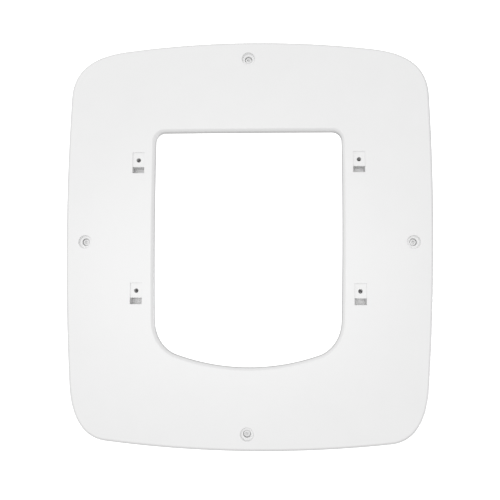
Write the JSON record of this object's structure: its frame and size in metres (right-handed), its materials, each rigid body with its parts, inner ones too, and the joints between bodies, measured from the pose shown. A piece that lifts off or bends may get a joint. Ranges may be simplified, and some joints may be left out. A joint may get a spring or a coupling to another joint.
{
  "type": "access point ceiling frame",
  "caption": "White moulded ceiling frame with a large opening, stepped screw wells and device pads, held in a cut-out by screw-driven swing-out clamps.",
  "frame": {"origin": "on the plane of the ceiling, which is the rear face of the rim gasket, where the lines between opposite screw wells cross", "axes": "-Y towards the room (the visible face), +Y into the ceiling, +Z towards the upper edge as pictured, +X to the right as seen from the room"},
  "size_m": [0.3, 0.0434, 0.3336],
  "materials": {
    "white_moulding": "satin white moulding",
    "grey_foam": "closed-cell foam",
    "white_coated_steel": "zinc-plated screw with a white coated head",
    "spring_steel": "plain spring steel",
    "brass": "turned",
    "grey_nylon": "moulded nylon",
    "black_rubber": "moulded rubber"
  },
  "bodies": {
    "frame": {"front_frame": "white_moulding", "rim_gasket": "grey_foam", "clamp_guide_top": "white_moulding", "clamp_guide_right": "white_moulding", "clamp_guide_bottom": "white_moulding", "clamp_guide_left": "white_moulding"},
    "screw_top": {"clamp_screw_top": "white_coated_steel", "screw_clip_top": "spring_steel"},
    "screw_right": {"clamp_screw_right": "white_coated_steel", "screw_clip_right": "spring_steel"},
    "screw_bottom": {"clamp_screw_bottom": "white_coated_steel", "screw_clip_bottom": "spring_steel"},
    "screw_left": {"clamp_screw_left": "white_coated_steel", "screw_clip_left": "spring_steel"},
    "nut_top": {"clamp_nut_top": "brass"},
    "nut_right": {"clamp_nut_right": "brass"},
    "nut_bottom": {"clamp_nut_bottom": "brass"},
    "nut_left": {"clamp_nut_left": "brass"},
    "arm_top": {"clamp_arm_top": "grey_nylon", "grip_pad_top": "black_rubber"},
    "arm_right": {"clamp_arm_right": "grey_nylon", "grip_pad_right": "black_rubber"},
    "arm_bottom": {"clamp_arm_bottom": "grey_nylon", "grip_pad_bottom": "black_rubber"},
    "arm_left": {"clamp_arm_left": "grey_nylon", "grip_pad_left": "black_rubber"}
  },
  "joints": [
    {"name": "screw_top_turn", "type": "hinge", "parent": "frame", "child": "screw_top", "pos_m": [0, 0, 0.1529], "axis": [0, 1, 0], "range_deg": [0, 3375]},
    {"name": "clamp_top_travel", "type": "slide", "parent": "frame", "child": "nut_top", "axis": [0, -1, 0], "range_m": [0, 0.015]},
    {"name": "arm_top_swing", "type": "hinge", "parent": "nut_top", "child": "arm_top", "pos_m": [0, 0, 0.1529], "axis": [0, 1, 0], "range_deg": [0, 90]},
    {"name": "screw_right_turn", "type": "hinge", "parent": "frame", "child": "screw_right", "pos_m": [0.1334, 0, 0], "axis": [0, 1, 0], "range_deg": [0, 3375]},
    {"name": "clamp_right_travel", "type": "slide", "parent": "frame", "child": "nut_right", "axis": [0, -1, 0], "range_m": [0, 0.015]},
    {"name": "arm_right_swing", "type": "hinge", "parent": "nut_right", "child": "arm_right", "pos_m": [0.1334, 0, 0], "axis": [0, 1, 0], "range_deg": [0, 90]},
    {"name": "screw_bottom_turn", "type": "hinge", "parent": "frame", "child": "screw_bottom", "pos_m": [0, 0, -0.1529], "axis": [0, 1, 0], "range_deg": [0, 3375]},
    {"name": "clamp_bottom_travel", "type": "slide", "parent": "frame", "child": "nut_bottom", "axis": [0, -1, 0], "range_m": [0, 0.015]},
    {"name": "arm_bottom_swing", "type": "hinge", "parent": "nut_bottom", "child": "arm_bottom", "pos_m": [0, 0, -0.1529], "axis": [0, 1, 0], "range_deg": [0, 90]},
    {"name": "screw_left_turn", "type": "hinge", "parent": "frame", "child": "screw_left", "pos_m": [-0.1334, 0, 0], "axis": [0, 1, 0], "range_deg": [0, 3375]},
    {"name": "clamp_left_travel", "type": "slide", "parent": "frame", "child": "nut_left", "axis": [0, -1, 0], "range_m": [0, 0.015]},
    {"name": "arm_left_swing", "type": "hinge", "parent": "nut_left", "child": "arm_left", "pos_m": [-0.1334, 0, 0], "axis": [0, 1, 0], "range_deg": [0, 90]}
  ],
  "couplings": [
    {"joint": "screw_top_turn", "follows": "clamp_top_travel", "rad_per_m": 3927},
    {"joint": "screw_right_turn", "follows": "clamp_right_travel", "rad_per_m": 3927},
    {"joint": "screw_bottom_turn", "follows": "clamp_bottom_travel", "rad_per_m": 3927},
    {"joint": "screw_left_turn", "follows": "clamp_left_travel", "rad_per_m": 3927}
  ]
}
